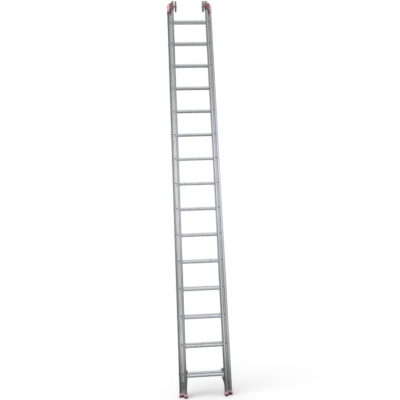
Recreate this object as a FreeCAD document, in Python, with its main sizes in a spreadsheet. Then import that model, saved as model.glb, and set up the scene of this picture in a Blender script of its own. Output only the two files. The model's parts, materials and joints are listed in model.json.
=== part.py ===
import FreeCAD, Part
import math
import os
import Sketcher
from FreeCAD import Vector

# Two-section extension ladder, both sections closed together, built in millimetres.
# X runs along the rungs, Z runs up the ladder, and -Y is the side that is climbed.
# The base section is the wider one at the back. The fly section slides up in front of it.

os.makedirs("parts", exist_ok=True)
doc = FreeCAD.newDocument("ExtensionLadder")

SIZES = [
    ("rung_count", 15),
    ("rung_pitch", 280),
    ("base_first_rung", 215),
    ("rung_drop", 15),
    ("base_width", 524),
    ("section_gap", 23),
    ("top_above_rung", 200),
    ("fly_below_base", 15),
    ("stile_face", 26),
    ("stile_depth", 70),
    ("stile_wall", 1.4),
    ("stile_corner", 2.5),
    ("groove_width", 9),
    ("groove_depth", 0.7),
    ("groove_spacing", 15),
    ("rung_size", 30),
    ("rung_wall", 1.2),
    ("flute_depth", 0.7),
    ("rung_fit", 0.1),
    ("collar_rim", 3.5),
    ("collar_thick", 2.5),
    ("flare_rim", 2),
    ("flare_thick", 1.5),
    ("rung_behind_stile", 4),
    ("sole_thick", 22),
    ("sleeve_height", 20),
    ("sleeve_wall", 2),
    ("sleeve_fit", 0.15),
    ("tread_cut", 4),
    ("toe_depth", 30),
    ("toe_lift", 2),
    ("toe_gap", 0.6),
    ("guide_height", 75),
    ("guide_lip", 5),
    ("guide_gap", 2.2),
    ("guide_reach", 21),
    ("guide_cap", 4),
    ("wheel_radius", 60),
    ("wheel_width", 22),
    ("wheel_gap", 10),
    ("tyre_depth", 12),
    ("tyre_fit", 0.3),
    ("rim_lip", 5),
    ("rim_lip_thick", 2),
    ("rim_wall", 5),
    ("hub_recess", 7),
    ("boss_rim", 4),
    ("boss_step", 1),
    ("axle_radius", 6),
    ("axle_fit", 0.05),
    ("axle_below_top", 62),
    ("axle_head", 11),
    ("axle_head_thick", 4.5),
    ("spin_clear", 0.5),
    ("hood_height", 60),
    ("hood_sleeve", 34),
    ("cheek_thick", 4),
    ("cheek_drop", 34),
    ("hook_thick", 5.5),
    ("hook_lift", 2),
    ("hook_rise", 31),
    ("hook_boss", 11),
    ("hook_pin", 4),
    ("hook_pin_fit", 0.05),
    ("hook_pin_head", 8),
    ("hook_pin_head_thick", 3),
    ("hook_pin_seat", 0.02),
    ("hook_clear", 0.5),
    ("pivot_behind", 15),
    ("hook_nose", 10),
    ("hook_nose_clear", 2),
    ("hook_bar", 20),
    ("plate_thick", 3),
    ("plate_top", 262),
    ("plate_bottom", 96),
    ("plate_rim", 6),
    ("plate_bevel", 8),
    ("plate_foot_slope", 14),
    ("notch_fit", 0.5),
    ("slider_bottom", 66),
    ("slider_height", 80),
    ("slider_fit", 0.5),
    ("slider_lip", 7),
    ("flange_thick", 3),
    ("flange_gap", 2.4),
    ("flange_hole", 7.5),
    ("flange_end_gap", 3),
    ("brace_reach", 20),
    ("brace_thick", 4),
    ("brace_edge", 6),
    ("tab_reach", 20),
    ("tab_edge", 4),
    ("left_reach", 6),
    ("bite", 0.5),
    ("rivet_radius", 4),
    ("rivet_height", 1.6),
    ("rivet_spacing", 28),
    ("rivet_rise", 40),
]

sheet = doc.addObject("Spreadsheet::Sheet", "Sizes")
for row, (alias, value) in enumerate(SIZES, start=1):
    sheet.set("A%d" % row, alias)
    sheet.set("B%d" % row, str(value))
    sheet.setAlias("B%d" % row, alias)
doc.recompute()


class Size:
    """A number together with the spreadsheet expression that gives it."""

    def __init__(self, value, text):
        self.value = float(value)
        self.text = text

    def _join(self, other, sign, value):
        return Size(value, "(%s %s %s)" % (self.text, sign, other.text))

    def __add__(self, other):
        other = as_size(other)
        return self._join(other, "+", self.value + other.value)

    def __sub__(self, other):
        other = as_size(other)
        return self._join(other, "-", self.value - other.value)

    def __mul__(self, other):
        other = as_size(other)
        return self._join(other, "*", self.value * other.value)

    def __truediv__(self, other):
        other = as_size(other)
        return self._join(other, "/", self.value / other.value)

    def __neg__(self):
        return self * -1


def as_size(value):
    if isinstance(value, Size):
        return value
    return Size(value, "(%s)" % value)


S = {alias: Size(value, "Sizes.%s" % alias) for alias, value in SIZES}
S["fly_width"] = S["base_width"] - (S["stile_face"] + S["section_gap"]) * 2
S["base_top"] = S["base_first_rung"] + S["rung_pitch"] * (S["rung_count"] - 1) + S["top_above_rung"]
S["collar_size"] = S["rung_size"] + S["collar_rim"] * 2
S["flare_size"] = S["rung_size"] + S["flare_rim"] * 2
COUNT = int(S["rung_count"].value)
FLUTES = 16

# Positions shared by several sub-parts.
half_base = S["base_width"] / 2
half_fly = S["fly_width"] / 2
base_x = half_base - S["stile_face"] / 2
fly_x = half_fly - S["stile_face"] / 2
base_inner = half_base - S["stile_face"]
fly_inner = half_fly - S["stile_face"]
depth_pitch = S["stile_depth"] / 2 + S["rung_size"] / 2 + S["rung_behind_stile"]
base_back = S["stile_depth"] / 2 + S["sleeve_fit"] + S["sleeve_wall"]
fly_y = (S["wheel_radius"] - depth_pitch - base_back) / 2
base_y = fly_y + depth_pitch
fly_first_rung = S["base_first_rung"] - S["rung_drop"]
fly_top = S["base_top"] - S["fly_below_base"]
axle_z = fly_top + S["hood_height"] - S["axle_below_top"]
base_stile_length = S["base_top"] - S["sole_thick"]
fly_stile_length = fly_top - S["sole_thick"]

bodies = []


def set_number(target, path, size):
    target.setExpression(path, as_size(size).text)


def origin_plane(body, role):
    for feature in body.Origin.OriginFeatures:
        if feature.Role == role:
            return feature
    raise RuntimeError("no plane " + role)


def new_body(label, x, y, z):
    body = doc.addObject("PartDesign::Body", label)
    body.Label = label
    body.Placement = FreeCAD.Placement(
        Vector(as_size(x).value, as_size(y).value, as_size(z).value), FreeCAD.Rotation()
    )
    set_number(body, ".Placement.Base.x", x)
    set_number(body, ".Placement.Base.y", y)
    set_number(body, ".Placement.Base.z", z)
    bodies.append(body)
    return body


def new_sketch(body, name, role, offset=0):
    sketch = body.newObject("Sketcher::SketchObject", body.Label + "_" + name)
    sketch.AttachmentSupport = [(origin_plane(body, role), "")]
    sketch.MapMode = "FlatFace"
    offset = as_size(offset)
    sketch.AttachmentOffset = FreeCAD.Placement(Vector(0, 0, offset.value), FreeCAD.Rotation())
    set_number(sketch, ".AttachmentOffset.Base.z", offset)
    return sketch


def add_loop(sketch, points):
    """Close a polygon through the points and tie every corner to its two sizes."""
    points = [(as_size(u), as_size(v)) for u, v in points]
    count = len(points)
    first = sketch.GeometryCount
    lines = []
    for n in range(count):
        u0, v0 = points[n]
        u1, v1 = points[(n + 1) % count]
        lines.append(Part.LineSegment(Vector(u0.value, v0.value, 0), Vector(u1.value, v1.value, 0)))
    sketch.addGeometry(lines, False)
    joins = []
    for n in range(count):
        joins.append(Sketcher.Constraint("Coincident", first + n, 2, first + (n + 1) % count, 1))
    sketch.addConstraint(joins)
    ties = []
    for n, (u, v) in enumerate(points):
        ties.append(Sketcher.Constraint("DistanceX", -1, 1, first + n, 1, u.value))
        ties.append(Sketcher.Constraint("DistanceY", -1, 1, first + n, 1, v.value))
    start = sketch.ConstraintCount
    sketch.addConstraint(ties)
    for n, (u, v) in enumerate(points):
        set_number(sketch, "Constraints[%d]" % (start + 2 * n), u)
        set_number(sketch, "Constraints[%d]" % (start + 2 * n + 1), v)


def add_circle(sketch, u, v, radius):
    u, v, radius = as_size(u), as_size(v), as_size(radius)
    number = sketch.GeometryCount
    circle = Part.Circle(Vector(u.value, v.value, 0), Vector(0, 0, 1), radius.value)
    sketch.addGeometry(circle, False)
    start = sketch.ConstraintCount
    sketch.addConstraint([
        Sketcher.Constraint("DistanceX", -1, 1, number, 3, u.value),
        Sketcher.Constraint("DistanceY", -1, 1, number, 3, v.value),
        Sketcher.Constraint("Radius", number, radius.value),
    ])
    set_number(sketch, "Constraints[%d]" % start, u)
    set_number(sketch, "Constraints[%d]" % (start + 1), v)
    set_number(sketch, "Constraints[%d]" % (start + 2), radius)


def pad(body, sketch, length, both_ways=False):
    feature = body.newObject("PartDesign::Pad", sketch.Label + "_pad")
    feature.Profile = sketch
    feature.Midplane = both_ways
    feature.Length = as_size(length).value
    set_number(feature, "Length", length)
    return feature


def cut(body, sketch, length=None, both_ways=False, backwards=False):
    feature = body.newObject("PartDesign::Pocket", sketch.Label + "_cut")
    feature.Profile = sketch
    feature.Midplane = both_ways
    feature.Reversed = backwards
    if length is None:
        feature.Type = "ThroughAll"
    else:
        feature.Length = as_size(length).value
        set_number(feature, "Length", length)
    return feature


def repeat(body, feature, role, spacing, count):
    pattern = body.newObject("PartDesign::LinearPattern", feature.Label + "_row")
    pattern.Originals = [feature]
    axis = [item for item in body.Origin.OriginFeatures if item.Role == role][0]
    pattern.Direction = (axis, [""])
    spacing = as_size(spacing)
    count = as_size(count)
    pattern.Length = spacing.value * (count.value - 1)
    pattern.Occurrences = int(count.value)
    set_number(pattern, "Length", spacing * (count - 1))
    set_number(pattern, "Occurrences", count)
    body.Tip = pattern
    return pattern


def box_points(u0, v0, u1, v1):
    return [(u0, v0), (u1, v0), (u1, v1), (u0, v1)]


def centred_box(width, height):
    return box_points(-width / 2, -height / 2, width / 2, height / 2)


def grooved_side(start, end, level, inward, centres, half_width, depth, along_u):
    """Points of one side of a section, with square grooves sunk into it."""
    points = [(start, level)]
    sunk = level + depth * inward
    heading = 1 if end.value > start.value else -1
    for centre in centres:
        near = centre - half_width * heading
        far = centre + half_width * heading
        points += [(near, level), (near, sunk), (far, sunk), (far, level)]
    points.append((end, level))
    if along_u:
        return points
    return [(v, u) for u, v in points]


def section_outline(width, depth, corner, broad, narrow, half_groove, groove_depth):
    """Chamfered rectangle with grooves at 'broad' on both X sides and 'narrow' on both Y sides."""
    hw, hd = width / 2, depth / 2
    rising = sorted(broad, key=lambda size: size.value)
    across = sorted(narrow, key=lambda size: size.value)
    points = []
    points += grooved_side(-(hw - corner), hw - corner, -hd, 1, across, half_groove, groove_depth, True)
    points += grooved_side(-(hd - corner), hd - corner, hw, -1, rising, half_groove, groove_depth, False)
    points += grooved_side(hw - corner, -(hw - corner), hd, -1, across[::-1],
                           half_groove, groove_depth, True)
    points += grooved_side(hd - corner, -(hd - corner), -hw, 1, rising[::-1],
                           half_groove, groove_depth, False)
    return points


def spread(spacing, count):
    """Groove centres, evenly spaced about the middle."""
    return [spacing * (n - (count - 1) / 2) for n in range(count)]


def stile(label, x, y, length, first_rung, flange_side=0):
    """Hollow box stile with grooved faces, a row of rung holes and, on the base, a guide flange."""
    body = new_body(label, x, y, S["sole_thick"])
    sketch = new_sketch(body, "section", "XY_Plane")
    outline = section_outline(S["stile_face"], S["stile_depth"], S["stile_corner"],
                              spread(S["groove_spacing"] * 3, 2), spread(S["groove_spacing"], 1),
                              S["groove_width"] / 2, S["groove_depth"])
    add_loop(sketch, outline)
    inside_x = S["stile_face"] - (S["stile_wall"] + S["groove_depth"]) * 2
    inside_y = S["stile_depth"] - (S["stile_wall"] + S["groove_depth"]) * 2
    add_loop(sketch, centred_box(inside_x, inside_y))
    pad(body, sketch, length)
    hole = new_sketch(body, "rung_hole", "YZ_Plane")
    add_circle(hole, 0, first_rung - S["sole_thick"], S["rung_size"] / 2 + S["rung_fit"])
    holes = cut(body, hole, S["stile_face"] * 2, both_ways=True)
    repeat(body, holes, "Z_Axis", S["rung_pitch"], S["rung_count"])
    if flange_side:
        add_flange(body, flange_side, length, first_rung)
    return body


def add_flange(body, side, length, first_rung):
    """Flange on a base stile's inner front edge, with a hole in front of each rung."""
    start = S["sleeve_height"] + S["flange_end_gap"]
    inner = base_x - half_fly - S["flange_gap"]
    front = -(S["stile_depth"] / 2)
    root = S["stile_face"] / 2 - S["stile_corner"]
    corner = S["stile_corner"]
    sketch = new_sketch(body, "flange", "XY_Plane", start)
    back = front + corner + S["flange_thick"]
    points = [(root, back), (root, front + corner), (inner, front + corner), (inner, back)]
    add_loop(sketch, [(u * -side, v) for u, v in points])
    pad(body, sketch, length - start - S["guide_height"] - S["flange_end_gap"])
    hole = new_sketch(body, "flange_hole", "XZ_Plane")
    middle = (S["stile_face"] / 2 + inner) / 2
    add_circle(hole, middle * -side, first_rung - S["sole_thick"], S["flange_hole"])
    holes = cut(body, hole, S["stile_depth"] / 2)
    repeat(body, holes, "Z_Axis", S["rung_pitch"], S["rung_count"])


def fluted_circle(radius, depth):
    """Round outline with shallow square flutes all round it."""
    points = []
    for n in range(FLUTES):
        for share, sunk in ((0.0, False), (0.55, False), (0.65, True), (0.90, True)):
            angle = 2 * math.pi * (n + share) / FLUTES
            reach = radius - depth if sunk else radius
            points.append((reach * round(math.cos(angle), 6), reach * round(math.sin(angle), 6)))
    return points


def rung(label, y, z, between, through):
    """Round fluted tube rung with inner collars and flared ends."""
    body = new_body(label, 0, y, z)
    radius = S["rung_size"] / 2
    sketch = new_sketch(body, "section", "YZ_Plane")
    add_loop(sketch, fluted_circle(radius, S["flute_depth"]))
    add_circle(sketch, 0, 0, radius - S["flute_depth"] - S["rung_wall"])
    pad(body, sketch, through + S["flare_thick"] * 2, both_ways=True)
    middle = radius - S["flute_depth"] - S["rung_wall"] / 2
    rings = [
        ("collar_a", S["collar_size"], between / 2 - S["collar_thick"], S["collar_thick"]),
        ("collar_b", S["collar_size"], -between / 2, S["collar_thick"]),
        ("flare_a", S["flare_size"], through / 2, S["flare_thick"]),
        ("flare_b", S["flare_size"], -through / 2 - S["flare_thick"], S["flare_thick"]),
    ]
    for name, size, offset, thick in rings:
        ring = new_sketch(body, name, "YZ_Plane", offset)
        add_circle(ring, 0, 0, size / 2)
        add_circle(ring, 0, 0, middle)
        pad(body, ring, thick)
    return body


def foot(label, x, y, toe_side=0):
    """Moulded foot: a solid sole with tread cuts, a sleeve round the stile and, on the base, a toe."""
    body = new_body(label, x, y, 0)
    hole_x = S["stile_face"] + S["sleeve_fit"] * 2
    hole_y = S["stile_depth"] + S["sleeve_fit"] * 2
    outer_x = hole_x + S["sleeve_wall"] * 2
    outer_y = hole_y + S["sleeve_wall"] * 2
    block = new_sketch(body, "block", "XY_Plane")
    add_loop(block, section_outline(outer_x, outer_y, S["stile_corner"], [], [], as_size(0), as_size(0)))
    pad(body, block, S["sole_thick"] + S["sleeve_height"])
    socket = new_sketch(body, "socket", "XY_Plane", S["sole_thick"])
    add_loop(socket, centred_box(hole_x, hole_y))
    cut(body, socket, S["sleeve_height"] * 2, backwards=True)
    tread = new_sketch(body, "tread", "XZ_Plane")
    half = S["tread_cut"] / 2
    for n in (-1, 1):
        add_loop(tread, box_points(S["tread_cut"] * 2 * n - half, -1, S["tread_cut"] * 2 * n + half, half))
    cut(body, tread, outer_y * 2, both_ways=True)
    if toe_side:
        toe = new_sketch(body, "toe", "XY_Plane", S["toe_lift"])
        root = outer_x / 2 - S["bite"]
        tip = base_x - half_fly - S["sleeve_fit"] - S["sleeve_wall"] - S["toe_gap"]
        front = -(outer_y / 2) + S["stile_corner"]
        add_loop(toe, box_points(root * -toe_side, front, tip * -toe_side, front + S["toe_depth"]))
        pad(body, toe, S["sole_thick"] + S["sleeve_height"] - S["toe_lift"])
    return body


def stile_guide(label, side):
    """Cap on a base stile whose arm reaches round the front of the fly stile."""
    body = new_body(label, 0, 0, S["base_top"] - S["guide_height"])
    hole_x = S["stile_face"] + S["sleeve_fit"] * 2
    hole_y = S["stile_depth"] + S["sleeve_fit"] * 2
    inner = base_x - hole_x / 2 - S["sleeve_wall"]
    outer = base_x + hole_x / 2 + S["sleeve_wall"]
    front = base_y - hole_y / 2 - S["sleeve_wall"]
    back = base_y + hole_y / 2 + S["sleeve_wall"]
    height = S["guide_height"] + S["guide_cap"]
    fly_front = fly_y - S["stile_depth"] / 2 - S["guide_gap"]
    fly_back = fly_y + S["stile_depth"] / 2 + S["guide_gap"]
    web = half_fly + S["flare_thick"] + S["guide_gap"]
    lip_end = half_fly - S["guide_reach"]
    block = new_sketch(body, "block", "XY_Plane")
    add_loop(block, box_points(inner * side, front, outer * side, back))
    pad(body, block, height)
    arm = new_sketch(body, "arm", "XY_Plane")
    lip = S["guide_lip"]
    outline = [
        (outer, front), (outer, back - lip), (inner, back - lip), (inner, fly_back + lip),
        (half_fly - lip, fly_back + lip), (half_fly - lip, fly_back), (web, fly_back), (web, fly_front),
        (lip_end, fly_front), (lip_end, fly_front - lip), (inner, fly_front - lip),
    ]
    add_loop(arm, [(u * side, v) for u, v in outline])
    pad(body, arm, S["guide_height"])
    socket = new_sketch(body, "socket", "XY_Plane")
    add_loop(socket, box_points((base_x - hole_x / 2) * side, base_y - hole_y / 2,
                                (base_x + hole_x / 2) * side, base_y + hole_y / 2))
    cut(body, socket, S["guide_height"], backwards=True)
    return body


def wheel_bracket(label, side):
    """Hood over the fly stile's top, with a cheek plate that carries the wall wheel's axle."""
    body = new_body(label, 0, fly_y, fly_top)
    hole_x = S["stile_face"] + S["sleeve_fit"] * 2
    hole_y = S["stile_depth"] + S["sleeve_fit"] * 2
    wall = S["cheek_thick"]
    inner = fly_x - hole_x / 2 - wall
    outer = fly_x + hole_x / 2
    corner = S["stile_corner"]
    hood = new_sketch(body, "hood", "YZ_Plane", (inner if side > 0 else -outer))
    low = -S["hood_sleeve"] / 2
    half = hole_y / 2 + S["sleeve_wall"] / 2
    outline = [
        (-half, low), (half, low), (half, S["hood_height"] - corner * 6),
        (half - corner * 6, S["hood_height"]), (corner * 6 - half, S["hood_height"]),
        (-half, S["hood_height"] - corner * 6),
    ]
    add_loop(hood, outline)
    pad(body, hood, outer - inner)
    socket = new_sketch(body, "socket", "XY_Plane", -S["hood_sleeve"])
    add_loop(socket, box_points((fly_x - hole_x / 2) * side, -hole_y / 2,
                                (outer + wall) * side, hole_y / 2))
    cut(body, socket, S["hood_sleeve"], backwards=True)
    pocket = new_sketch(body, "pocket", "XY_Plane", S["guide_lip"])
    add_loop(pocket, box_points((fly_x - hole_x / 2) * side, wall * 2 - half,
                                (outer + wall) * side, half - wall * 2))
    cut(body, pocket, S["hood_height"] - S["guide_lip"] * 2, backwards=True)
    cheek = new_sketch(body, "cheek", "YZ_Plane", (inner if side > 0 else -(inner + wall)))
    tab = S["axle_head"] * 2
    add_loop(cheek, [(-tab, -S["cheek_drop"]), (tab, -S["cheek_drop"]), (half, 0), (-half, 0)])
    pad(body, cheek, wall)
    bore = new_sketch(body, "bore", "YZ_Plane", (inner - 1 if side > 0 else -(inner + wall + 1)))
    add_circle(bore, 0, S["hood_height"] - S["axle_below_top"], S["axle_radius"] + S["axle_fit"])
    cut(body, bore, wall + 1, backwards=True)
    return body


def axle_stack():
    """Distances from the ladder's middle to the faces of the wheel and its axle."""
    cheek = fly_x - S["stile_face"] / 2 - S["sleeve_fit"] - S["cheek_thick"]
    wheel_out = cheek - S["wheel_gap"]
    wheel_in = wheel_out - S["wheel_width"]
    return cheek, wheel_out, wheel_in


def disc(body, name, centre_z, radius, start, end, side, bore=None):
    """Pad a disc along X between two distances from the ladder's middle."""
    low = start if side > 0 else -end
    sketch = new_sketch(body, name, "YZ_Plane", low)
    add_circle(sketch, 0, centre_z, radius)
    if bore is not None:
        add_circle(sketch, 0, centre_z, bore)
    pad(body, sketch, end - start)


def wheel_axle(label, side):
    """Axle pin fixed in the cheek, with a shoulder against the cheek and a head past the wheel."""
    cheek, wheel_out, wheel_in = axle_stack()
    body = new_body(label, 0, fly_y, axle_z)
    head = S["axle_head"]
    clear = S["spin_clear"]
    disc(body, "pin", 0, S["axle_radius"], wheel_in - clear, cheek + S["cheek_thick"], side)
    disc(body, "shoulder", 0, head, wheel_out + clear, cheek, side)
    disc(body, "head", 0, head, wheel_in - clear - S["axle_head_thick"], wheel_in - clear, side)
    return body


def wheel_hub(label, side):
    """Wheel centre with a rim lip, a recessed web and a running bore."""
    cheek, wheel_out, wheel_in = axle_stack()
    body = new_body(label, 0, fly_y, axle_z)
    rim = S["wheel_radius"] - S["tyre_depth"] - S["tyre_fit"]
    bore = S["axle_radius"] + S["axle_fit"]
    boss = S["axle_head"] + S["boss_rim"]
    face = wheel_out - S["boss_step"]
    disc(body, "rim", 0, rim, wheel_in + S["rim_lip_thick"], face, side, bore)
    disc(body, "lip", 0, rim + S["rim_lip"], wheel_in, wheel_in + S["rim_lip_thick"], side, bore)
    disc(body, "boss", 0, boss, face, wheel_out, side, bore)
    recess_low = wheel_out - S["hub_recess"] if side > 0 else -wheel_out
    recess = new_sketch(body, "recess", "YZ_Plane", recess_low)
    add_circle(recess, 0, 0, rim - S["rim_wall"])
    add_circle(recess, 0, 0, boss)
    cut(body, recess, S["hub_recess"], backwards=True)
    return body


def wheel_tyre(label, side):
    """Plain rubber band round the wheel centre, seated against the rim lip."""
    cheek, wheel_out, wheel_in = axle_stack()
    body = new_body(label, 0, fly_y, axle_z)
    bore = S["wheel_radius"] - S["tyre_depth"]
    face = wheel_out - S["boss_step"]
    disc(body, "band", 0, S["wheel_radius"], wheel_in + S["rim_lip_thick"], face, side, bore)
    return body


# The hook's pivot, measured from the middle of the fly stile and from the ground.
pivot_y = S["pivot_behind"] - S["rung_size"] / 2
pivot_z = S["base_first_rung"] + S["hook_rise"]
hook_out = fly_inner - S["plate_thick"] - S["hook_clear"]


def inward_reach(side, name):
    """The left latch stands less far inboard than the right one."""
    return S[name] if side > 0 else S["left_reach"]


def latch_plate(label, side):
    """Riveted plate on the fly stile's inner face, notched round the first fly rung."""
    body = new_body(label, 0, fly_y, 0)
    start = fly_inner - S["plate_thick"] if side > 0 else -fly_inner
    sketch = new_sketch(body, "plate", "YZ_Plane", start)
    notch = S["collar_size"] / 2 + S["notch_fit"]
    edge = notch + S["plate_rim"]
    bevel = S["plate_bevel"]
    low, top = S["plate_bottom"], S["plate_top"]
    shoulder = low + S["plate_foot_slope"]
    outline = [
        (-edge, shoulder), (bevel - notch, low), (notch - bevel, low), (edge, shoulder),
        (edge, top - bevel), (edge - bevel, top), (bevel - edge, top), (-edge, top - bevel),
    ]
    add_loop(sketch, outline)
    add_circle(sketch, 0, fly_first_rung, notch)
    add_circle(sketch, pivot_y, pivot_z, S["hook_pin"] + S["hook_pin_seat"])
    pad(body, sketch, S["plate_thick"])
    brace = new_sketch(body, "brace", "XZ_Plane", -(S["brace_thick"] / 2))
    face = fly_inner - S["plate_thick"]
    tip = face - inward_reach(side, "brace_reach")
    under = fly_first_rung - notch - S["notch_fit"] * 2
    points = [
        (face + S["bite"], under), (tip, under), (tip, under - S["brace_edge"]),
        (face + S["bite"], shoulder),
    ]
    add_loop(brace, [(u * side, v) for u, v in points])
    pad(body, brace, S["brace_thick"])
    for n, offset in enumerate(spread(S["rivet_spacing"], 2)):
        low_x = face - S["rivet_height"] if side > 0 else -face
        rivet = new_sketch(body, "rivet%d" % n, "YZ_Plane", low_x)
        add_circle(rivet, offset, low + S["rivet_rise"], S["rivet_radius"])
        pad(body, rivet, S["rivet_height"])
    return body


def latch_pin(label, side):
    """Pivot pin with a head that keeps the hook on."""
    body = new_body(label, 0, fly_y + pivot_y, pivot_z)
    inner = hook_out - S["hook_thick"]
    head = inner - S["hook_clear"]
    disc(body, "pin", 0, S["hook_pin"], head, fly_inner, side)
    disc(body, "head", 0, S["hook_pin_head"], head - S["hook_pin_head_thick"], head, side)
    return body


def latch_hook(label, side):
    """Gravity hook that turns on its pin and lies over the first base rung."""
    body = new_body(label, 0, fly_y + pivot_y, pivot_z)
    inner = hook_out - S["hook_thick"]
    start = inner if side > 0 else -hook_out
    sketch = new_sketch(body, "hook", "YZ_Plane", start)
    rung_middle = depth_pitch - pivot_y
    rung_top = S["base_first_rung"] + S["rung_size"] / 2 - pivot_z
    under = rung_top + S["hook_lift"]
    rear = rung_middle + S["rung_size"] / 2 + S["hook_nose_clear"]
    tip = rear + S["hook_nose"]
    boss = S["hook_boss"]
    outline = [
        (-boss, -boss * 0.4), (-boss * 0.4, -boss), (boss * 0.5, under),
        (rear, under), (rear, under - S["hook_nose"] * 1.2), (tip - 3, under - S["hook_nose"] * 1.2),
        (tip, under - S["hook_nose"] * 0.8), (tip, under + 8), (boss + 4, under + S["hook_bar"] + 6),
        (boss * 0.4, boss), (-boss * 0.4, boss), (-boss, boss * 0.4),
    ]
    add_loop(sketch, outline)
    add_circle(sketch, 0, 0, S["hook_pin"] + S["hook_pin_fit"])
    pad(body, sketch, S["hook_thick"])
    tab = new_sketch(body, "tab", "XZ_Plane", -rung_middle)
    edge = inner + S["bite"]
    end = edge - inward_reach(side, "tab_reach")
    points = [
        (edge, under), (end, under), (end, under + S["tab_edge"]),
        (edge, under + S["hook_bar"]),
    ]
    add_loop(tab, [(u * side, v) for u, v in points])
    pad(body, tab, S["brace_thick"])
    return body


def stile_slider(label, side):
    """Guide shoe on the fly stile's foot end that grips the base stile's flange."""
    body = new_body(label, 0, 0, S["slider_bottom"])
    fit = S["slider_fit"]
    flange_front = base_y - S["stile_depth"] / 2 + S["stile_corner"]
    flange_back = flange_front + S["flange_thick"]
    flange_edge = half_fly + S["flange_gap"]
    rung_front = base_y - S["collar_size"] / 2
    lip = base_inner - S["stile_corner"] - 1
    outline = [
        (half_fly, flange_front - S["slider_lip"] * 4), (lip, flange_front - S["slider_lip"]),
        (lip, flange_front - fit), (flange_edge - fit, flange_front - fit),
        (flange_edge - fit, flange_back + fit), (lip, flange_back + fit), (lip, rung_front - 2),
        (half_fly, rung_front - 2),
    ]
    sketch = new_sketch(body, "shoe", "XY_Plane")
    add_loop(sketch, [(u * side, v) for u, v in outline])
    pad(body, sketch, S["slider_height"])
    return body


def build_section(name, x, y, length, first_rung, inner, half_width):
    for side, word in ((-1, "left"), (1, "right")):
        flange_side = side if name == "base" else 0
        stile("%s_stile_%s" % (name, word), x * side, y, length, first_rung, flange_side)
        foot("%s_foot_%s" % (name, word), x * side, y, flange_side)
    for n in range(COUNT):
        z = first_rung + S["rung_pitch"] * n
        rung("%s_rung_%02d" % (name, n + 1), y, z, inner * 2, half_width * 2)


build_section("base", base_x, base_y, base_stile_length, S["base_first_rung"], base_inner, half_base)
build_section("fly", fly_x, fly_y, fly_stile_length, fly_first_rung, fly_inner, half_fly)
for side, word in ((-1, "left"), (1, "right")):
    stile_guide("base_guide_" + word, side)
    stile_slider("fly_slider_" + word, side)
    wheel_bracket("wheel_bracket_" + word, side)
    wheel_axle("wheel_axle_" + word, side)
    wheel_hub("wheel_hub_" + word, side)
    wheel_tyre("wheel_tyre_" + word, side)
    latch_plate("latch_plate_" + word, side)
    latch_pin("latch_pin_" + word, side)
    latch_hook("latch_hook_" + word, side)

doc.recompute()

for item in doc.Objects:
    if "Invalid" in item.State or "Error" in item.State:
        raise RuntimeError("%s did not build: %s" % (item.Label, item.State))

for body in bodies:
    shape = body.Shape
    if shape.isNull() or not shape.isValid():
        raise RuntimeError(body.Label + " has no valid shape")
    if len(shape.Solids) != 1:
        raise RuntimeError("%s has %d solids" % (body.Label, len(shape.Solids)))
    shape.exportStep("parts/%s.step" % body.Label)
    box = shape.BoundBox
    print("%-20s x %8.1f %8.1f  y %7.1f %7.1f  z %7.1f %7.1f  vol %9.0f" % (
        body.Label, box.XMin, box.XMax, box.YMin, box.YMax, box.ZMin, box.ZMax, shape.Volume))
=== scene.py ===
import json
import math

import bmesh
import bpy
from mathutils import Matrix, Vector


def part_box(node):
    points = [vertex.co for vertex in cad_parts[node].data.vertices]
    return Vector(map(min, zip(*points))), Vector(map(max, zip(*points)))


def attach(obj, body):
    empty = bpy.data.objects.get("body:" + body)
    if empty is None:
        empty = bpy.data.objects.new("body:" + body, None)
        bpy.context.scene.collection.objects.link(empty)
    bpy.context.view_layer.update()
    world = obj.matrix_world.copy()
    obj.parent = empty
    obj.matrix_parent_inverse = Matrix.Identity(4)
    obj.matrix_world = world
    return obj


# Extension ladder. Metres, in the ladder's own frame: X along the rungs, Z up the stiles, +Y to the wall.
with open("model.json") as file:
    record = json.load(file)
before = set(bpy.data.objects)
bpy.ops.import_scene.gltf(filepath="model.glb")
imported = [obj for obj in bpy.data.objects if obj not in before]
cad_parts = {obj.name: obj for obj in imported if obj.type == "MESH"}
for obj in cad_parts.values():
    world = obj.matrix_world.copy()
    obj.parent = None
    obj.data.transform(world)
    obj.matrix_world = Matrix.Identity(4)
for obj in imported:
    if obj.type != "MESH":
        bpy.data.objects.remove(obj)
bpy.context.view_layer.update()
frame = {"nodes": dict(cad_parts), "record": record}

# The stiles on the right; the ones on the left mirror them.
base_low, base_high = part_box("base_stile_right")
fly_low, fly_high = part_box("fly_stile_right")
stile_face = fly_high.x - fly_low.x
base_inner = base_high.x - stile_face


# ---------------------------------------------------------------- shader helpers

def add_node(tree, kind, **settings):
    node = tree.nodes.new(kind)
    for key, value in settings.items():
        setattr(node, key, value)
    return node


def new_material(name):
    material = bpy.data.materials.new(name)
    material.use_nodes = True
    return material, material.node_tree, material.node_tree.nodes["Principled BSDF"]


def coordinate(tree, kind):
    """Separate X, Y and Z sockets of one kind of coordinate: Object, Normal or Generated."""
    place = add_node(tree, "ShaderNodeTexCoord")
    split = add_node(tree, "ShaderNodeSeparateXYZ")
    tree.links.new(place.outputs[kind], split.inputs["Vector"])
    return split.outputs


def object_space(tree, stretch, shift=(0, 0, 0)):
    """Object coordinates in metres, multiplied by the stretch and then shifted."""
    place = add_node(tree, "ShaderNodeTexCoord")
    mapping = add_node(tree, "ShaderNodeMapping")
    mapping.inputs["Scale"].default_value = stretch
    mapping.inputs["Location"].default_value = shift
    tree.links.new(place.outputs["Object"], mapping.inputs["Vector"])
    return mapping.outputs["Vector"]


def noise(tree, vector, detail, roughness):
    node = add_node(tree, "ShaderNodeTexNoise")
    node.inputs["Scale"].default_value = 1.0
    node.inputs["Detail"].default_value = detail
    node.inputs["Roughness"].default_value = roughness
    tree.links.new(vector, node.inputs["Vector"])
    return node.outputs["Fac"]


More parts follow.
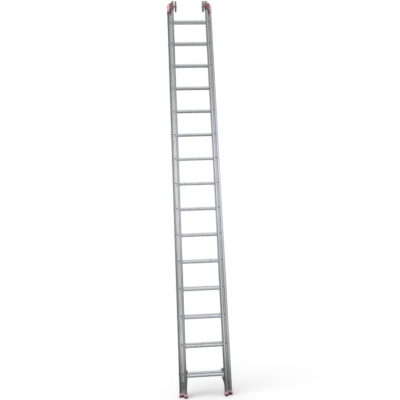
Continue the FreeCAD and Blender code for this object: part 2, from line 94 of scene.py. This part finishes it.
def remap(tree, value, span, onto):
    """Map a span of values onto another one, and hold it at the ends."""
    node = add_node(tree, "ShaderNodeMapRange")
    node.inputs["From Min"].default_value = span[0]
    node.inputs["From Max"].default_value = span[1]
    node.inputs["To Min"].default_value = onto[0]
    node.inputs["To Max"].default_value = onto[1]
    tree.links.new(value, node.inputs["Value"])
    return node.outputs["Result"]


def arithmetic(tree, operation, *values):
    node = add_node(tree, "ShaderNodeMath", operation=operation)
    for socket, value in zip(node.inputs, values):
        tree.links.new(value, socket)
    return node.outputs["Value"]


def mix_colours(tree, fac, first, second, blend="MIX"):
    """Mix two colours, each one a tuple or a socket."""
    node = add_node(tree, "ShaderNodeMix", data_type="RGBA", blend_type=blend)
    for name, value in (("Factor", fac), ("A", first), ("B", second)):
        socket = [s for s in node.inputs if s.name == name and (name == "Factor" or s.type == "RGBA")][0]
        if isinstance(value, (tuple, float)):
            socket.default_value = (*value, 1) if isinstance(value, tuple) else value
        else:
            tree.links.new(value, socket)
    return [s for s in node.outputs if s.type == "RGBA"][0]


def grey_ramp(tree, value, bands, low, high):
    """Brightness along a value, from a list of (value, brightness) in rising order."""
    ramp = add_node(tree, "ShaderNodeValToRGB")
    tree.links.new(remap(tree, value, (low, high), (0.0, 1.0)), ramp.inputs["Fac"])
    stops = ramp.color_ramp.elements
    while len(stops) < len(bands):
        stops.new(1.0)
    for stop, (level, bright) in zip(stops, bands):
        stop.position = (level - low) / (high - low)
        stop.color = (bright, bright, bright, 1)
    return ramp.outputs["Color"]


def add_bump(tree, shader, height, strength, distance):
    node = add_node(tree, "ShaderNodeBump")
    node.inputs["Strength"].default_value = strength
    node.inputs["Distance"].default_value = distance
    tree.links.new(height, node.inputs["Height"])
    tree.links.new(node.outputs["Normal"], shader.inputs["Normal"])


# ---------------------------------------------------------------- camera

CAMERA_PLACE = Vector((-0.2609, -4.5433, 1.0616))
CAMERA_YAW = -3.62
CAMERA_PITCH = -11.43
CAMERA_ROLL = -2.58
FRAME_MM = 36.0
FOCAL_MM = 38.68
FAR_CLIP = 200


def camera_axes(yaw, pitch, roll):
    """Right, down and forward directions of the camera in the ladder's frame."""
    upright = Matrix(((1, 0, 0), (0, 0, -1), (0, 1, 0)))
    turn = Matrix.Rotation(math.radians(roll), 3, "Z")
    turn = turn @ Matrix.Rotation(math.radians(pitch), 3, "X")
    turn = turn @ Matrix.Rotation(math.radians(yaw), 3, "Y")
    return turn @ upright


def add_camera():
    data = bpy.data.cameras.new("camera")
    data.sensor_width = FRAME_MM
    data.lens = FOCAL_MM
    data.clip_end = FAR_CLIP
    camera = bpy.data.objects.new("camera", data)
    bpy.context.scene.collection.objects.link(camera)
    right, down, ahead = camera_axes(CAMERA_YAW, CAMERA_PITCH, CAMERA_ROLL)
    turn = Matrix((right, -down, -ahead)).transposed()
    camera.matrix_world = Matrix.Translation(CAMERA_PLACE) @ turn.to_4x4()
    bpy.context.scene.camera = camera


# ---------------------------------------------------------------- floor and light

FLOOR_SIZE = 120
FLOOR_DROP = 0.0005
FLOOR_TONE = (0.90, 0.90, 0.90)
FLOOR_ROUGH = 0.9
FLOOR_SHINE = 0.1

# Brightness of the painted floor reflection along Y: pale ground in front of the ladder, and painted shade
# under and behind it.
CARD_DROP = 0.001
PAINTED_REFLECTION_REACH = 15.0
PAINTED_REFLECTION_BANDS = [(-12.0, 0.38), (-8.0, 0.80), (-2.7, 0.80), (-2.0, 0.28), (0.2, 0.14), (3.0, 0.10), (4.5, 0.30)]

# Brightness of the reflected room by height of the direction, from the horizon (0) to straight up (1).
ROOM_BANDS = [(0.00, 0.36), (0.06, 0.60), (0.10, 1.00), (0.34, 0.96), (0.45, 0.44), (0.62, 0.40),
              (0.76, 1.00), (1.00, 1.00)]
ROOM_TINT = (0.93, 0.96, 1.01)
# Brightness of the plain room, as the camera sees it and as it lights matt surfaces.
ROOM_WHITE = 1.0
ROOM_FILL = 0.78

LAMP_ENERGY = 1.35
LAMP_SPREAD = 50
LAMP_DIRECTION = Vector((0.35, 0.45, -1.0))


def add_floor():
    """Plain pale floor."""
    bpy.ops.mesh.primitive_plane_add(size=FLOOR_SIZE, location=(0, 0, -FLOOR_DROP))
    floor = bpy.context.object
    floor.name = "floor"
    material, _, shader = new_material("floor")
    shader.inputs["Base Color"].default_value = (*FLOOR_TONE, 1)
    shader.inputs["Roughness"].default_value = FLOOR_ROUGH
    shader.inputs["Specular IOR Level"].default_value = FLOOR_SHINE
    floor.data.materials.append(material)
    floor.visible_glossy = False


def add_painted_reflection_floor():
    """Painted floor reflection: a glowing plane only shiny surfaces see. The camera doesn't see it."""
    bpy.ops.mesh.primitive_plane_add(size=FLOOR_SIZE, location=(0, 0, -CARD_DROP))
    card = bpy.context.object
    card.name = "painted_reflection_floor"
    material, tree, shader = new_material("painted_reflection_floor")
    tree.nodes.remove(shader)
    glow = add_node(tree, "ShaderNodeEmission")
    shade = grey_ramp(tree, coordinate(tree, "Object")["Y"], PAINTED_REFLECTION_BANDS, -PAINTED_REFLECTION_REACH, PAINTED_REFLECTION_REACH)
    tree.links.new(shade, glow.inputs["Color"])
    tree.links.new(glow.outputs["Emission"], tree.nodes["Material Output"].inputs["Surface"])
    card.data.materials.append(material)
    for kind in ("camera", "diffuse", "transmission", "volume_scatter", "shadow"):
        setattr(card, "visible_" + kind, False)


def add_room():
    """White room for the camera and matt surfaces, and a banded one for shiny surfaces."""
    world = bpy.data.worlds.new("room")
    world.use_nodes = True
    tree = world.node_tree
    bands = grey_ramp(tree, coordinate(tree, "Generated")["Z"], ROOM_BANDS, 0.0, 1.0)
    path = add_node(tree, "ShaderNodeLightPath")
    tint = mix_colours(tree, 1.0, bands, ROOM_TINT, "MULTIPLY")
    plain = mix_colours(tree, path.outputs["Is Camera Ray"], (ROOM_FILL,) * 3, (ROOM_WHITE,) * 3)
    seen = mix_colours(tree, path.outputs["Is Glossy Ray"], plain, tint)
    tree.links.new(seen, tree.nodes["Background"].inputs["Color"])
    bpy.context.scene.world = world
    bpy.context.scene.view_settings.view_transform = "Standard"


def add_lamp():
    """One broad soft lamp, hidden from shiny surfaces."""
    data = bpy.data.lights.new("key", "SUN")
    data.energy = LAMP_ENERGY
    data.angle = math.radians(LAMP_SPREAD)
    lamp = bpy.data.objects.new("key", data)
    bpy.context.scene.collection.objects.link(lamp)
    lamp.visible_glossy = False
    lamp.rotation_euler = LAMP_DIRECTION.to_track_quat("-Z", "Y").to_euler()


# ---------------------------------------------------------------- materials

ALUMINIUM = (0.90, 0.905, 0.91)
GRIME = (0.52, 0.52, 0.51)
FADED = (0.75, 0.73, 0.73)
SOLE_RED = (0.115, 0.006, 0.010)
SLEEVE_PINK = (0.47, 0.29, 0.32)
GUIDE_RED = (0.22, 0.055, 0.050)
CAP_PINK = (0.60, 0.41, 0.45)
SLIDER_GREY = (0.085, 0.085, 0.09)
HUB_GREY = (0.52, 0.52, 0.53)
TYRE_GREY = (0.15, 0.125, 0.125)
BRACKET_GREY = (0.33, 0.275, 0.285)
LATCH_ZINC = (0.36, 0.365, 0.37)
HOOK_ZINC = (0.46, 0.465, 0.47)
PIN_ZINC = (0.66, 0.665, 0.67)

# Height of a foot's dark sole as a share of the foot, and the lengths over which one tone turns into
# another.
SOLE_SHARE = 0.45
SLEEVE_BLEND = 0.006
CAP_BLEND = 0.004

# Painted shade across each pair of stiles, darker in the grooves, slits and corners:
# (share of the way from the fly's inner face to the base's outer face, painted brightness).
LEFT_PAINTED_SHADE = [(0.00, 0.42), (0.06, 0.50), (0.12, 0.70), (0.28, 0.70), (0.34, 0.46), (0.41, 0.92),
              (0.62, 0.92), (0.70, 0.82), (0.78, 0.44), (0.97, 0.38), (1.00, 0.38)]
RIGHT_PAINTED_SHADE = [(0.00, 0.42), (0.14, 0.50), (0.19, 1.00), (0.33, 1.00), (0.37, 0.42), (0.46, 0.42),
               (0.52, 0.80), (0.61, 0.80), (0.66, 0.42), (0.72, 0.52), (0.77, 1.00), (0.92, 0.95),
               (0.97, 0.50), (1.00, 0.50)]
# How squarely a face has to look along Y to take that painted shade: from not at all to fully.
FACING = (0.4, 0.8)

# Stretch of the noise along and across the direction of drawing: fine lines and broad streaks.
FINE_LINES = (4.0, 900.0)
BROAD_STREAKS = (0.5, 70.0)
DRAWN_DARK = 0.84
DRAWN_PALE = 1.06

# How far the plastics fade and scuff towards the faded tone, and how far their roughness strays.
PLASTIC_FADE = 0.12
PLASTIC_SCUFF = 0.30
PLASTIC_STRAY = (-0.07, 0.1)

PLATED_CELLS = 140
PLATED_DARK = 0.7
PLATED_STRAY = (-0.08, 0.14)

RUBBED_GAIN = 1.5
RUBBED_LIFT = 0.03


def painted_groove_shade(tree):
    """Painted shade in the grooves, slits and corners of the faces that look along Y; 1 on the others."""
    across = base_high.x - fly_low.x
    bands = [(-(fly_low.x + share * across), tone) for share, tone in reversed(LEFT_PAINTED_SHADE)]
    bands += [(fly_low.x + share * across, tone) for share, tone in RIGHT_PAINTED_SHADE]
    shade = grey_ramp(tree, coordinate(tree, "Object")["X"], bands, bands[0][0], bands[-1][0])
    facing = arithmetic(tree, "ABSOLUTE", coordinate(tree, "Normal")["Y"])
    return mix_colours(tree, remap(tree, facing, FACING, (0.0, 1.0)), (1.0, 1.0, 1.0), shade)


def further_out(tree, axis, low, high):
    """0 nearer the ladder's origin than low along an axis, 1 further from it than high."""
    distance = arithmetic(tree, "ABSOLUTE", coordinate(tree, "Object")[axis])
    return remap(tree, distance, (low, high), (0.0, 1.0))


def drawn_aluminium(name, along, smudge_seed, banded):
    """Aluminium drawn along one axis: fine lines, broad tonal streaks, smudges and small scratches."""
    material, tree, shader = new_material(name)
    shader.inputs["Metallic"].default_value = 1.0
    fine = tuple(FINE_LINES[axis != along] for axis in "XYZ")
    broad = tuple(BROAD_STREAKS[axis != along] for axis in "XYZ")
    lines = noise(tree, object_space(tree, fine), detail=3, roughness=0.6)
    streaks = noise(tree, object_space(tree, broad, (3, 7, 1)), detail=3, roughness=0.5)
    dull = noise(tree, object_space(tree, (9, 9, 5), (smudge_seed, 2, 5)), detail=6, roughness=0.6)
    dark = tuple(DRAWN_DARK * value for value in ALUMINIUM)
    pale = tuple(min(1.0, DRAWN_PALE * value) for value in ALUMINIUM)
    shade = arithmetic(tree, "ADD", remap(tree, streaks, (0.35, 0.65), (0.0, 0.75)),
                       remap(tree, lines, (0.3, 0.7), (-0.1, 0.25)))
    colour = mix_colours(tree, shade, dark, pale)
    colour = mix_colours(tree, remap(tree, dull, (0.55, 0.75), (0.0, 0.25)), colour, GRIME)
    # Painted shade stripes across the stile faces, darker in the grooves, slits and corners.
    if banded:
        colour = mix_colours(tree, 1.0, colour, painted_groove_shade(tree), "MULTIPLY")
    tree.links.new(colour, shader.inputs["Base Color"])
    rough = arithmetic(tree, "ADD", remap(tree, dull, (0.3, 0.7), (0.18, 0.32)),
                       remap(tree, lines, (0.3, 0.7), (-0.04, 0.06)))
    tree.links.new(rough, shader.inputs["Roughness"])
    add_bump(tree, shader, lines, strength=0.25, distance=0.0004)
    return material


def moulded_plastic(name, tone, rough, grain=1800.0, depth=0.25, second=None):
    """Moulded plastic with fine grain, faint fading and scuffs; second is (tone, axis, low, high)."""
    material, tree, shader = new_material(name)
    patch = noise(tree, object_space(tree, (22, 22, 22)), detail=5, roughness=0.6)
    scuff = noise(tree, object_space(tree, (260, 60, 90)), detail=6, roughness=0.7)
    grains = noise(tree, object_space(tree, (grain, grain, grain)), detail=2, roughness=0.5)
    base = tone
    if second is not None:
        other, axis, low, high = second
        base = mix_colours(tree, further_out(tree, axis, low, high), tone, other)
    faded = mix_colours(tree, PLASTIC_FADE, base, FADED)
    base = mix_colours(tree, remap(tree, patch, (0.35, 0.7), (0.0, 1.0)), base, faded)
    worn = mix_colours(tree, PLASTIC_SCUFF, base, FADED)
    marks = remap(tree, scuff, (0.60, 0.75), (0.0, 0.25))
    tree.links.new(mix_colours(tree, marks, base, worn), shader.inputs["Base Color"])
    stray = tuple(rough + change for change in PLASTIC_STRAY)
    tree.links.new(remap(tree, patch, (0.3, 0.7), stray), shader.inputs["Roughness"])
    add_bump(tree, shader, grains, strength=depth, distance=0.0003)
    return material


def plated_steel(name, tone, rough):
    """Zinc-plated steel with soft spangle, fine scratches and dull patches."""
    material, tree, shader = new_material(name)
    shader.inputs["Metallic"].default_value = 1.0
    cells = add_node(tree, "ShaderNodeTexVoronoi")
    cells.inputs["Scale"].default_value = 1.0
    tree.links.new(object_space(tree, (PLATED_CELLS,) * 3), cells.inputs["Vector"])
    patch = noise(tree, object_space(tree, (60, 60, 60)), detail=5, roughness=0.6)
    scratch = noise(tree, object_space(tree, (900, 300, 60)), detail=3, roughness=0.6)
    dark = tuple(PLATED_DARK * value for value in tone)
    mottled = arithmetic(tree, "ADD", remap(tree, cells.outputs["Distance"], (0.1, 0.9), (0.0, 0.5)),
                         remap(tree, patch, (0.35, 0.65), (0.0, 0.5)))
    tree.links.new(mix_colours(tree, mottled, tone, dark), shader.inputs["Base Color"])
    stray = tuple(rough + change for change in PLATED_STRAY)
    tree.links.new(remap(tree, patch, (0.3, 0.7), stray), shader.inputs["Roughness"])
    add_bump(tree, shader, scratch, strength=0.2, distance=0.0003)
    return material


def powder_coat(name, tone):
    """Powder-coated metal with orange peel and rubbed patches."""
    material, tree, shader = new_material(name)
    peel = noise(tree, object_space(tree, (1100, 1100, 1100)), detail=2, roughness=0.5)
    rub = noise(tree, object_space(tree, (70, 70, 40)), detail=6, roughness=0.65)
    pale = tuple(min(1.0, RUBBED_GAIN * value + RUBBED_LIFT) for value in tone)
    rubbed = mix_colours(tree, remap(tree, rub, (0.5, 0.75), (0.0, 0.8)), tone, pale)
    tree.links.new(rubbed, shader.inputs["Base Color"])
    tree.links.new(remap(tree, rub, (0.3, 0.7), (0.38, 0.55)), shader.inputs["Roughness"])
    add_bump(tree, shader, peel, strength=0.3, distance=0.0004)
    return material


def make_materials():
    """One material for each material slot of the frame."""
    sole_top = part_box("base_foot_right")[1].z * SOLE_SHARE
    sleeve = (SLEEVE_PINK, "Z", sole_top, sole_top + SLEEVE_BLEND)
    cap = (CAP_PINK, "X", base_inner - CAP_BLEND, base_inner)
    return {
        "stile_metal": drawn_aluminium("stile_aluminium", "Z", smudge_seed=1, banded=True),
        "rung_metal": drawn_aluminium("rung_aluminium", "X", smudge_seed=4, banded=False),
        "foot_plastic": moulded_plastic("foot_red", SOLE_RED, rough=0.42, second=sleeve),
        "guide_plastic": moulded_plastic("guide_red", GUIDE_RED, rough=0.40, second=cap),
        "slider_plastic": moulded_plastic("slider_grey", SLIDER_GREY, rough=0.45),
        "hub_plastic": moulded_plastic("hub_grey", HUB_GREY, rough=0.42),
        "tyre_rubber": moulded_plastic("tyre_rubber", TYRE_GREY, rough=0.72, grain=900.0, depth=0.5),
        "bracket_paint": powder_coat("bracket_grey", BRACKET_GREY),
        "latch_steel": plated_steel("latch_zinc", LATCH_ZINC, rough=0.42),
        "hook_steel": plated_steel("hook_zinc", HOOK_ZINC, rough=0.38),
        "pin_steel": plated_steel("pin_zinc", PIN_ZINC, rough=0.30),
    }


# ---------------------------------------------------------------- edges

# Rounding of the drawn aluminium's edges, and of every other piece's.
DRAWN_EDGE = 0.0005
OTHER_EDGE = 0.0009
EDGE_SEGMENTS = 2
EDGE_ANGLE = 35


def dress_nodes(materials):
    """Give every frame node its material and a small edge rounding."""
    slots = {item["node"]: item["material_slot"] for item in frame["record"]["subparts"]}
    for name, obj in frame["nodes"].items():
        obj.data.materials.clear()
        obj.data.materials.append(materials[slots[name]])
        round_edges(obj, DRAWN_EDGE if "stile" in name or "rung" in name else OTHER_EDGE)


def round_edges(obj, width):
    bevel = obj.modifiers.new("edge", "BEVEL")
    bevel.width = width
    bevel.segments = EDGE_SEGMENTS
    bevel.limit_method = "ANGLE"
    bevel.angle_limit = math.radians(EDGE_ANGLE)
    bevel.harden_normals = True
    for polygon in obj.data.polygons:
        polygon.use_smooth = True


# ---------------------------------------------------------------- plugs

# Section of a plug's head, from its middle out: (radius, depth behind the flange's front face).
# A depth below zero stands proud of the face.
PLUG_SECTION = [(0.0, -0.0002), (0.0044, -0.0002), (0.0054, -0.0003), (0.0066, -0.0003), (0.0072, 0.0002)]
PLUG_TURNS = 28
# Distance of the flange's front face behind the stile's.
FLANGE_BEHIND = 0.0025


def add_plug(mesh, x, y, z):
    """One round plug head, facing -Y."""
    rings = []
    for radius, depth in PLUG_SECTION:
        ring = []
        for n in range(PLUG_TURNS if radius else 1):
            angle = 2 * math.pi * n / PLUG_TURNS
            point = (x + radius * math.cos(angle), y + depth, z + radius * math.sin(angle))
            ring.append(mesh.verts.new(point))
        rings.append(ring)
    for inner, outer in zip(rings, rings[1:]):
        for n in range(PLUG_TURNS):
            corners = [inner[n % len(inner)], outer[n % len(outer)],
                       outer[(n + 1) % len(outer)], inner[(n + 1) % len(inner)]]
            mesh.faces.new(list(dict.fromkeys(corners)))


def add_hole_shade_plugs(side, word, material):
    """Dark plug heads in a base stile's flange holes, one in front of each rung; their dark is painted
    shade.
    """
    mesh = bmesh.new()
    for name in sorted(frame["nodes"]):
        if name.startswith("base_rung_"):
            rung_low, rung_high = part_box(name)
            add_plug(mesh, side * (base_low.x + base_inner) / 2, base_low.y + FLANGE_BEHIND,
                     (rung_low.z + rung_high.z) / 2)
    bmesh.ops.recalc_face_normals(mesh, faces=mesh.faces)
    data = bpy.data.meshes.new("hole_shade_plugs_" + word)
    mesh.to_mesh(data)
    mesh.free()
    for polygon in data.polygons:
        polygon.use_smooth = True
    plugs = bpy.data.objects.new("hole_shade_plugs_" + word, data)
    bpy.context.scene.collection.objects.link(plugs)
    plugs.data.materials.append(material)
    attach(plugs, "base_section")


# ---------------------------------------------------------------- build

materials = make_materials()
dress_nodes(materials)
for plug_side, plug_word in ((-1, "left"), (1, "right")):
    # Dark plug heads stand in for the shade inside the flange holes: painted shade.
    add_hole_shade_plugs(plug_side, plug_word, materials["slider_plastic"])
add_floor()
add_painted_reflection_floor()
add_room()
add_lamp()
add_camera()
